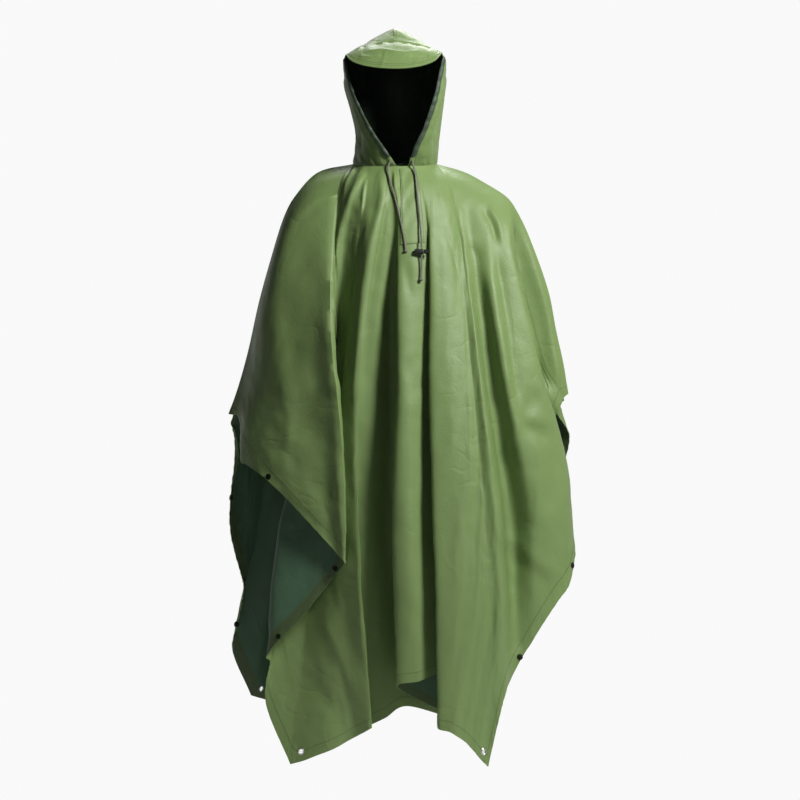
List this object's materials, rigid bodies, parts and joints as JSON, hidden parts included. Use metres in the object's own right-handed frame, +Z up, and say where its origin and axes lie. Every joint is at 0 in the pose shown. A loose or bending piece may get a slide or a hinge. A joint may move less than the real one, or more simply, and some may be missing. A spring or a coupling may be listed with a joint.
{
  "type": "hooded rain poncho",
  "caption": "Olive coated rain poncho worn open with its hood up: front and back panels with side snaps and corner eyelets, a hood with a soft visor, and a drawcord with a cord lock.",
  "frame": {"origin": "centre of the neck hole at the level of the neck seam, where the poncho hangs from the wearer's neck and shoulders", "axes": "+Z up, -Y out of the chest to the front, +X to the right of the front view"},
  "size_m": [0.7456, 0.5016, 1.5819],
  "materials": {
    "coated_fabric": "slightly shiny coated weave, bluish green coating inside",
    "cord": "braided",
    "black_plastic": "moulded",
    "eyelet_metal": "nickel plated",
    "snap_metal": "dark painted"
  },
  "bodies": {
    "root": {"front_panel": "coated_fabric", "back_panel": "coated_fabric", "hood_left": "coated_fabric", "hood_right": "coated_fabric", "hood_visor": "coated_fabric", "casing_left": "coated_fabric", "casing_right": "coated_fabric", "neck_placket": "coated_fabric", "drawcord_left": "cord", "drawcord_left_knot": "cord", "drawcord_right": "cord", "drawcord_right_knot": "cord", "cord_lock_body": "black_plastic", "cord_lock_button": "black_plastic", "eyelet_front_left": "eyelet_metal", "eyelet_front_right": "eyelet_metal", "eyelet_back_left": "eyelet_metal", "eyelet_back_right": "eyelet_metal", "snap_front_left_1": "snap_metal", "snap_front_left_2": "snap_metal", "snap_front_left_3": "snap_metal", "snap_front_right_1": "snap_metal", "snap_front_right_2": "snap_metal", "snap_front_right_3": "snap_metal", "snap_back_left_1": "snap_metal", "snap_back_left_2": "snap_metal", "snap_back_left_3": "snap_metal", "snap_back_right_1": "snap_metal", "snap_back_right_2": "snap_metal", "snap_back_right_3": "snap_metal"}
  },
  "joints": []
}
